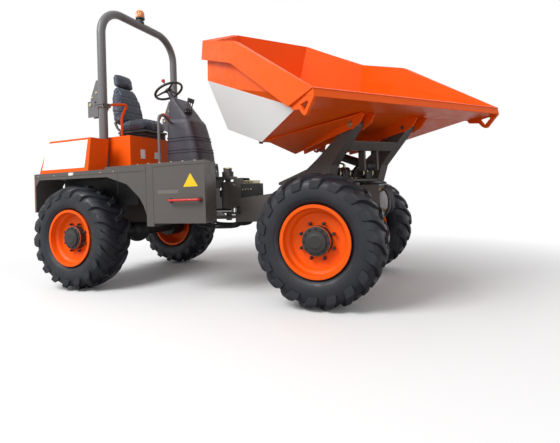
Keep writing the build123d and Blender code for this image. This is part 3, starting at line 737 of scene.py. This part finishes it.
def puffed(name, rows, node, cap, grooves=()):
    """Cushion from rows (centre x, z, half width, half thickness, lean): squared ellipses across the lean
    line, closed at both ends and then blown up as cloth."""
    k = np.array(rows)
    t = np.linspace(0, 2 * pi, 40, endpoint=False)
    c, s = (np.sign(f(t)) * np.abs(f(t)) ** 0.55 for f in (np.cos, np.sin))
    n = np.stack([np.cos(k[:, 4]), 0 * k[:, 4], np.sin(k[:, 4])], -1)
    p = np.stack([k[:, 0], 0 * k[:, 0], k[:, 1]], -1)[:, None]
    p = p + k[:, 3, None, None] * c[None, :, None] * n[:, None]
    p = p + k[:, 2, None, None] * s[None, :, None] * [0, 1, 0]
    obj = make(name, [moved(grid(p, wrap_v=True, caps=True), here)], SEAT, "rear_unit")
    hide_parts(node)
    blown_up(obj, cap, grooves)


def seat():
    """Seat cushion, backrest and head pad, with the pleated suspension cover and the pan under them."""
    lean = -0.16
    cushion = [(-2.765, 1.885, 0.22, 0.205, 0.0), (-2.760, 1.90, 0.245, 0.235, 0.0),
               (-2.755, 1.97, 0.255, 0.240, 0.03), (-2.755, 2.00, 0.245, 0.225, 0.04),
               (-2.755, 2.015, 0.21, 0.19, 0.05)]
    backrest = [(-2.965, 1.99, 0.215, 0.060, lean), (-2.985, 2.04, 0.245, 0.078, lean),
                (-3.010, 2.18, 0.252, 0.080, lean), (-3.040, 2.36, 0.235, 0.066, lean),
                (-3.062, 2.48, 0.190, 0.050, lean), (-3.070, 2.53, 0.145, 0.034, lean)]
    head = [(-3.072, 2.528, 0.128, 0.034, lean), (-3.077, 2.552, 0.148, 0.050, lean),
            (-3.092, 2.65, 0.146, 0.052, lean), (-3.100, 2.700, 0.122, 0.038, lean)]
    puffed("seat_pad", cushion, "seat_cushion", 0.020, [(1, 0.165)])
    puffed("back_pad", backrest, "seat_back", 0.022, [(1, 0.160), (2, 2.16), (2, 2.27), (2, 2.38)])
    puffed("head_pad", head, "headrest", 0.016)
    z = np.linspace(1.752, 1.862, 9)
    out = np.where(np.arange(9) % 2, 0.014, 0.0)
    square = np.array([(-1, -1), (1, -1), (1, 1), (-1, 1)])
    rows = [np.column_stack([-2.76 + square[:, 0] * (0.205 + o), square[:, 1] * (0.195 + o), np.full(4, h)])
            for h, o in zip(z, out)]
    parts = [grid(np.array(rows), wrap_v=True, caps=True), block(-2.985, -2.530, -0.215, 0.215, 1.862, 1.888)]
    parts += [block(-2.98, -2.54, y - 0.02, y + 0.02, 1.755, 1.775) for y in (-0.225, 0.225)]
    parts += [bar((-3.068, y, 2.50), (-3.078, y, 2.60), 0.008, 12) for y in (-0.07, 0.07)]
    for s in (-1, 1):
        crank = rounded([(-3.03, s * 0.215, 2.02), (-2.96, s * 0.245, 1.93), (-2.90, s * 0.235, 1.88)], 0.03)
        parts.append(tube(crank, 0.016, 12))
    make("seat_base", [moved(p, here) for p in parts], BLACK, "rear_unit", bevel=0.002)


def side_details():
    """Bolts, seams, grab handle and edge strips of the side box, the fenders and the deck."""
    bolts = []
    for x in np.linspace(-1.96, -1.24, 6):
        bolts += bolt((x, -0.972, DECK_Z + 0.025), (0, 0, 1), 0.011, 0.009)
    for x in (-3.45, -3.18, -2.88, -2.46, -2.27):
        for s in (-1, 1):
            bolts += bolt((x, s * BODY_W, DECK_Z - 0.03), (0, s, 0), 0.008, 0.006)
    make("station_bolts", [moved(p, here) for p in bolts], STEEL, "rear_unit")
    face, sunk = -BODY_W - 0.0008, -BODY_W + 0.001
    lines = ((-1.740, 0.745, DECK_Z), (-1.833, 0.715, DECK_Z - 0.02), (-2.215, 1.05, DECK_Z))
    seams = [block(x - 0.0015, x + 0.0015, face, sunk, low, high) for x, low, high in lines]
    make("panel_seams", [moved(p, here) for p in seams], BLACK, "rear_unit")
    trim = [block(-1.740, -1.10, -BODY_W - 0.004, sunk, DECK_Z - 0.010, DECK_Z + 0.025),
            block(-3.520, -1.830, -BODY_W - 0.004, sunk, DECK_Z - 0.045, DECK_Z - 0.001),
            block(-3.520, -2.215, BODY_W - 0.001, BODY_W + 0.004, DECK_Z - 0.045, DECK_Z - 0.001)]
    make("edge_flanges", [moved(p, here) for p in trim], GREY, "rear_unit", bevel=0.003)
    # Sheets inside the rear wheel arches: they close the arches, and their near-black is painted shade, the
    # dark under the fenders behind the tyres.
    shade_liners = [block(-3.498, -2.30, s * 0.612 - 0.006, s * 0.612 + 0.006, 0.93, DECK_Z) for s in (-1, 1)]
    make("arch_shade_liners", [moved(p, here) for p in shade_liners], DARK, "rear_unit")
    back, front = HANDLE_X
    z, out = 0.976, -BODY_W - 0.045
    path = rounded([(back, -BODY_W, z), (back, out, z), (front, out, z), (front, -BODY_W, z)], 0.022)
    make("grab_handle", [moved(tube(path, 0.0125, 16), here)], RED, "rear_unit")
    feet = [bar((x, sunk, z), (x, -BODY_W - 0.006, z), 0.026, 24) for x in HANDLE_X]
    make("grab_handle_feet", [moved(p, here) for p in feet], DARK, "rear_unit")
    strips = [block(-3.526, -3.519, s * 0.99 - 0.010, s * 0.99 + 0.010, 0.885, DECK_Z) for s in (-1, 1)]
    make("rear_edge_strips", [moved(p, here) for p in strips], ORANGE, "rear_unit")


def station_details():
    """Hand post with its bent tip, the two hand rails tied to the hoop's posts, and the levers' boots."""
    foot_z = DECK_Z + 0.024
    post = rounded([(-2.005, -0.575, DECK_Z + 0.02), (-2.005, -0.575, 1.93), (-2.03, -0.50, 1.975),
                    (-2.06, -0.40, 1.975)], 0.05, 8)
    parts = [tube(post, 0.016, 16), block(-2.04, -1.97, -0.61, -0.54, foot_z, foot_z + 0.010),
             tube([(-2.06, -0.40, 1.975), (-2.10, -0.30, 1.96), (-2.13, -0.20, 1.93)], 0.015, 16)]
    make("hand_post", [moved(p, here) for p in parts], HOOP, "rear_unit")
    for name, s in SIDES:
        rail = [(ROPS_X, s * 0.625, 2.070), (ROPS_X, s * 0.565, 2.165), (-2.700, s * 0.330, 2.200),
                (-2.800, s * 0.330, 2.050), (-2.800, s * 0.330, 1.750)]
        bent = tube(rounded(rail, 0.05, 8), 0.016, 16)
        obj = make("hand_rail_" + name, [moved(bent, here)], ORANGE, "rear_unit")
        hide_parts("grab_rail_" + name)
    boot = [(0.030, 0), (0.026, 0.010), (0.030, 0.020), (0.022, 0.030), (0.026, 0.040), (0.012, 0.052),
            (0, 0.052)]
    boots = [spin(boot, (-1.927, y, 2.052), "z", 24) for y in (-0.150, -0.105, -0.060)]
    make("lever_boots", [moved(p, here) for p in boots], BLACK, "rear_unit")


def hoop_details():
    """Wing plates, straps and bolts on the folding hoop, and the bolts and hinge pins of its two bases."""
    wing = [(-2.945, 2.165), (-2.945, 2.235), (-2.850, 2.450), (-2.797, 2.450), (-2.797, 2.165)]
    strap = [(-2.945, 2.161), (-2.945, 2.196), (-2.80, 2.196), (-2.80, 2.161)]
    plates, heads = [], []
    for s in (-1, 1):
        y = s * ROPS_Y
        plates += [slab(wing, "y", y - 0.006, y + 0.006), slab(strap, "y", y - 0.024, y + 0.024)]
        for x, z in ((-2.915, 2.245), (-2.845, 2.30)):
            heads += bolt((x, y - 0.006, z), (0, -1, 0), 0.012, 0.010)
    make("hoop_brackets", [moved(p, here) for p in plates], HOOP, "rops_hoop", bevel=0.002)
    make("hoop_bracket_bolts", [moved(p, here) for p in heads], STEEL, "rops_hoop")
    heads = []
    for s in (-1, 1):
        y = s * ROPS_Y
        heads.append(bar((FOLD_X, y - 0.056, FOLD_Z), (FOLD_X, y + 0.056, FOLD_Z), 0.020, 24))
        for x in (-0.060, 0.060):
            for k in (-0.036, 0.056):
                heads += bolt((ROPS_X + x, y + s * k, DECK_Z + 0.025), (0, 0, 1), 0.012, 0.010)
        for x in (-0.045, 0.045):
            for k in (-0.045, 0.045):
                heads += bolt((ROPS_X + x, y + k, FOLD_Z - 0.040), (0, 0, -1), 0.010, 0.010)
    make("hoop_base_bolts", [moved(p, here) for p in heads], STEEL, "rear_unit")


# ---- hydraulics ----------------------------------------------------------
FRONT_FACE = 0.428                        # front face of the front frame
MOTOR_D, MOTOR_Z = 0.42, 1.187            # swivel motors, ahead of the turntable's axis and above ground
VALVE_PITCH = 0.034                       # gap from one valve section to the next


def hose(name, points, way, r, bodies, bend=None):
    """Hose along a smooth curve with a fitting at each end; given a bend, it is taken off its body and left
    in place.
    """
    path = way(smooth(points, 10))
    for k, (a, b) in enumerate(((path[0], path[3]), (path[-1], path[-4]))):
        u = (b - a) / np.linalg.norm(b - a)
        fitting = [bar(a - u * 0.004, a + u * 0.030, r * 1.35, 16),
                   bar(a - u * 0.002, a + u * 0.012, r * 1.7, 6)]
        make(f"{name}_fitting_{k + 1}", fitting, STEEL, bodies[-k])
    obj = make(name, [tube(path, r, 12)], HOSE, bodies[0])
    if bend:
        obj.parent = None
        obj.matrix_world = Matrix.Identity(4)
        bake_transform(obj)


def middle_joint():
    """Bolted cap on the pivot pin and the pair of slanting gusset plates behind it on the front unit."""
    cap = [bar((PIVOT_X, 0, 1.324), (PIVOT_X, 0, 1.334), 0.056, 40)]
    for k in range(4):
        a = radians(45 + 90 * k)
        cap += bolt((PIVOT_X + 0.036 * cos(a), 0.036 * sin(a), 1.334), (0, 0, 1), 0.009, 0.008)
    make("pivot_cap", [moved(p, here) for p in cap], STEEL, "rear_unit")
    wing = [(-1.325, 1.150), (-1.325, 1.205), (-1.215, 1.205), (-1.060, 1.000), (-1.120, 0.955),
            (-1.180, 0.955)]
    plates = [slab(wing, "y", s * 0.088 - 0.007, s * 0.088 + 0.007) for s in (-1, 1)]
    plates.append(block(-1.325, -1.215, -0.090, 0.090, 1.195, 1.205))
    make("front_gussets", [moved(p, here) for p in plates], GREY, "front_unit", bevel=0.002)


def middle_hoses():
    """Five hoses that hang under the middle joint."""
    places = (  # to the left, how far it sags
        (-0.215, 0.045), (-0.165, 0.020), (-0.120, 0.055), (0.120, 0.030), (0.170, 0.050))
    for k, (y, sag) in enumerate(places):
        z = 0.690 - sag
        points = [(-1.795, y, 0.80), (-1.82, y, 0.725), (-1.70, y, z), (PIVOT_X, y, z - 0.012),
                  (-1.26, y, z + 0.01), (-1.205, y, 0.745), (-1.182, y, 0.80)]
        hose(f"joint_hose_{k + 1}", points, here, 0.0145, ("rear_unit", "front_unit"),
             [(-1.66, y, z), (-1.25, y, z)])


def front_hoses():
    """Four loops on the front face of the front frame, and three hoses from there back to the axle."""
    x = FRONT_FACE
    for k, y in enumerate((-0.20, -0.15, -0.10, -0.05)):
        z = 0.02 * (k % 2)
        points = [(x, y, 1.02), (0.470, y, 1.02 + z), (0.515, y, 0.95), (0.520, y + 0.01, 0.85 - z),
                  (0.480, y + 0.02, 0.80 - z), (x, y + 0.02, 0.80)]
        hose(f"front_hose_{k + 1}", points, here, 0.011, ("front_unit",))
    for k, y in enumerate((-0.312, -0.283, -0.254)):
        points = [(x, y, 1.00), (0.475, y - 0.01, 1.01), (0.520, y - 0.03, 0.93), (0.500, y - 0.03, 0.80),
                  (0.380, y, 0.69), (0.240, y + 0.004, 0.655), (0.110, y + 0.004, 0.672)]
        hose(f"axle_hose_{k + 1}", points, here, 0.012, ("front_unit",))


def swivel_motors():
    """A pair of motors lying across the turntable between the arms, their bright rings and their hoses."""
    motor, rings = [], []
    for s in (-1, 1):
        motor += [bar((MOTOR_D, s * 0.075, MOTOR_Z), (MOTOR_D, s * 0.215, MOTOR_Z), 0.052, 32),
                  block(MOTOR_D - 0.06, MOTOR_D + 0.06, s * 0.145 - 0.035, s * 0.145 + 0.035, 1.121, 1.19)]
        rings += [bar((MOTOR_D, s * w, MOTOR_Z), (MOTOR_D, s * (w + 0.010), MOTOR_Z), 0.058, 32)
                  for w in (0.080, 0.130, 0.198)]
    make("swivel_motors", [moved(p, on_table) for p in motor], DARK, "turntable", bevel=0.002)
    make("motor_rings", [moved(p, on_table) for p in rings], STEEL, "turntable")
    for k, (w, far) in enumerate(((-0.185, -0.14), (-0.115, -0.20), (0.115, 0.20), (0.185, 0.14))):
        points = [(MOTOR_D, w, 1.236), (0.405, w, 1.275), (0.33, (w + far) / 2, 1.285), (0.25, far, 1.23),
                  (0.22, far, 1.165), (0.215, far, 1.121)]
        hose(f"motor_hose_{k + 1}", points, on_table, 0.010, ("turntable",))


def valve_sections():
    """Four sections on top of the valve block and the ends of their spools on its right."""
    parts = []
    for k in range(4):
        x = -1.13 + VALVE_PITCH * k
        parts.append(block(x, x + 0.025, -0.20, -0.03, 1.128, 1.165))
    for k in range(4):
        x = -1.118 + VALVE_PITCH * k
        parts.append(bar((x, -0.245, 1.06), (x, -0.225, 1.06), 0.010, 12))
    make("valve_sections", [moved(p, here) for p in parts], STEEL, "front_unit", bevel=0.002)


# ---- stage ---------------------------------------------------------------
def camera():
    """Stands off the right front corner and looks slightly up, a little rolled, through a 26 mm lens."""
    yaw, pitch, roll = 0.399057, 0.021448, -0.036852
    data = bpy.data.cameras.new("camera")
    data.sensor_width, data.lens = 36.0, 26.016
    data.shift_x, data.shift_y = -0.01241, -0.06943
    data.clip_start, data.clip_end = 0.1, 200.0
    obj = bpy.data.objects.new("camera", data)
    bpy.context.scene.collection.objects.link(obj)
    look = Matrix.Rotation(yaw, 3, "Z") @ Matrix.Rotation(pitch, 3, "X")
    right, ahead, up = (look @ Vector(v) for v in ((1, 0, 0), (0, 1, 0), (0, 0, 1)))
    r, u = right * cos(roll) + up * sin(roll), -right * sin(roll) + up * cos(roll)
    turn = Matrix((r, u, -ahead)).transposed().to_4x4()
    obj.matrix_world = Matrix.Translation(Vector(here((1.13205, -4.28277, 1.02461)))) @ turn
    bpy.context.scene.camera = obj


def looked_at(tree, path):
    """1 for what the camera sees straight, in a reflection or through a lens, 0 for light that bounces."""
    seen = maths(tree, "MAXIMUM", path.outputs["Is Camera Ray"], path.outputs["Is Glossy Ray"])
    return maths(tree, "MAXIMUM", seen, path.outputs["Is Transmission Ray"])


def pale_floor():
    """White matt floor that turns into the white of the backdrop with the distance r from the machine:
    share of backdrop = (r - 2.2 m) / 3 m, kept within 0 and 1.  As a bounce it counts as a darker yard."""
    m, tree, sh = nodes_of("floor_pale")
    sh.inputs["Roughness"].default_value = 0.7
    path = tree.nodes.new("ShaderNodeLightPath")
    tone = mix(tree, path.outputs["Is Camera Ray"], (0.35, 0.35, 0.35), (0.97, 0.97, 0.97))
    tree.links.new(tone, sh.inputs["Base Color"])
    far = tree.nodes.new("ShaderNodeVectorMath")
    far.operation = "LENGTH"
    tree.links.new(place(tree), far.inputs[0])
    share = tree.nodes.new("ShaderNodeMapRange")
    share.inputs["From Min"].default_value = 2.2
    share.inputs["From Max"].default_value = 5.2
    tree.links.new(far.outputs["Value"], share.inputs["Value"])
    glow = tree.nodes.new("ShaderNodeEmission")
    glow.inputs["Color"].default_value = (1, 1, 1, 1)
    glow.inputs["Strength"].default_value = 1.0
    join = tree.nodes.new("ShaderNodeMixShader")
    shown = maths(tree, "MULTIPLY", share.outputs["Result"], looked_at(tree, path))
    tree.links.new(shown, join.inputs["Fac"])
    tree.links.new(sh.outputs["BSDF"], join.inputs[1])
    tree.links.new(glow.outputs["Emission"], join.inputs[2])
    tree.links.new(join.outputs["Shader"], tree.nodes["Material Output"].inputs["Surface"])
    return m


def white_backdrop():
    """White world that lights the machine at less than half of the strength at which it shows."""
    world = bpy.data.worlds.new("studio")
    bpy.context.scene.world = world
    world.use_nodes = True
    tree = world.node_tree
    back = tree.nodes["Background"]
    path = tree.nodes.new("ShaderNodeLightPath")
    strength = tree.nodes.new("ShaderNodeMapRange")
    strength.inputs["To Min"].default_value = 0.46
    strength.inputs["To Max"].default_value = 1.0
    tree.links.new(looked_at(tree, path), strength.inputs["Value"])
    back.inputs["Color"].default_value = (1, 1, 1, 1)
    tree.links.new(strength.outputs["Result"], back.inputs["Strength"])


LAMPS = [  # name, place, power in watts
    ("key", (-3.5, -7.0, 8.0), 900.0),
    ("fill", (6.0, -8.0, 3.0), 130.0)]
LAMP_SIZE, LAMP_AIM = 5.0, (0, 0, 1)
FLOOR_HALF, FLOOR_Z = 60.0, -0.001


def stage():
    """Backdrop, floor just below the ground plane, and two large square lamps aimed at the machine."""
    scene = bpy.context.scene
    scene.view_settings.view_transform = "Standard"
    white_backdrop()
    a, z = FLOOR_HALF, FLOOR_Z
    verts, faces = grid([[(-a, -a, z), (-a, a, z)], [(a, -a, z), (a, a, z)]])
    mesh = bpy.data.meshes.new("floor")
    mesh.from_pydata(verts.tolist(), [], [f[::-1] for f in faces])
    floor = bpy.data.objects.new("floor", mesh)
    scene.collection.objects.link(floor)
    mesh.materials.append(pale_floor())
    for name, spot, power in LAMPS:
        data = bpy.data.lights.new(name, "AREA")
        data.size, data.energy = LAMP_SIZE, power
        obj = bpy.data.objects.new(name, data)
        scene.collection.objects.link(obj)
        obj.location = spot
        obj.rotation_euler = (Vector(LAMP_AIM) - Vector(spot)).to_track_quat("-Z", "Y").to_euler()


# ---- the machine ---------------------------------------------------------
dress()
for name, x, side in WHEELS:
    tyre(name, x, side)
    hub(name, x, side)
panels()
skip_details()
console_shell()
steering_wheel()
beacon()
seat()
side_details()
station_details()
hoop_details()
middle_joint()
middle_hoses()
front_hoses()
swivel_motors()
valve_sections()
camera()
stage()
